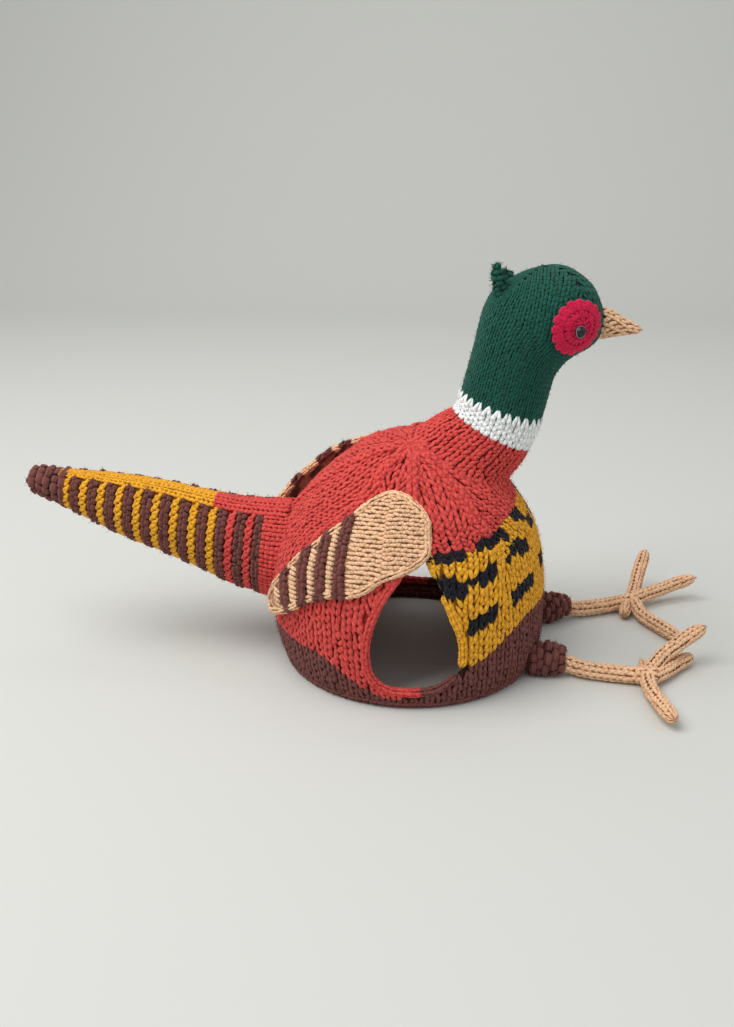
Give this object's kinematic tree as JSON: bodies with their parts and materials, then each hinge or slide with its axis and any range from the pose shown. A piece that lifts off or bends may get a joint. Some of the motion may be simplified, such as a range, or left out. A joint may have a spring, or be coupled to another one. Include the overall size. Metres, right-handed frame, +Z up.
{
  "type": "tea cosy",
  "caption": "Knitted tea cosy in the form of a cock pheasant: hollow dome open underneath, a slit in each side, stuffed neck and tail, sewn-on wings and corded feet.",
  "frame": {"origin": "on the table under the middle of the whole thing's box", "axes": "+X the way the bird looks, +Y its left, +Z up"},
  "size_m": [0.4959, 0.2317, 0.2714],
  "materials": {
    "rust_wool": "knitted wool, plain stitches",
    "green_wool": "knitted wool, plain stitches",
    "brown_wool": "knitted wool, plain stitches",
    "gold_wool": "knitted wool, garter ridges",
    "tan_wool": "knitted wool, plain stitches",
    "magenta_yarn": "crocheted cotton",
    "black_bead": "shiny"
  },
  "bodies": {
    "root": {"body": "rust_wool", "neck_head": "green_wool", "tail": "gold_wool", "wing_right": "tan_wool", "wing_left": "tan_wool", "beak": "tan_wool", "eye_patch_right": "magenta_yarn", "eye_bead_right": "black_bead", "ear_tuft_right": "green_wool", "cuff_right": "brown_wool", "leg_right": "tan_wool", "toe_inner_right": "tan_wool", "toe_middle_right": "tan_wool", "toe_outer_right": "tan_wool", "toe_hind_right": "tan_wool", "eye_patch_left": "magenta_yarn", "eye_bead_left": "black_bead", "ear_tuft_left": "green_wool", "cuff_left": "brown_wool", "leg_left": "tan_wool", "toe_inner_left": "tan_wool", "toe_middle_left": "tan_wool", "toe_outer_left": "tan_wool", "toe_hind_left": "tan_wool"}
  },
  "joints": []
}
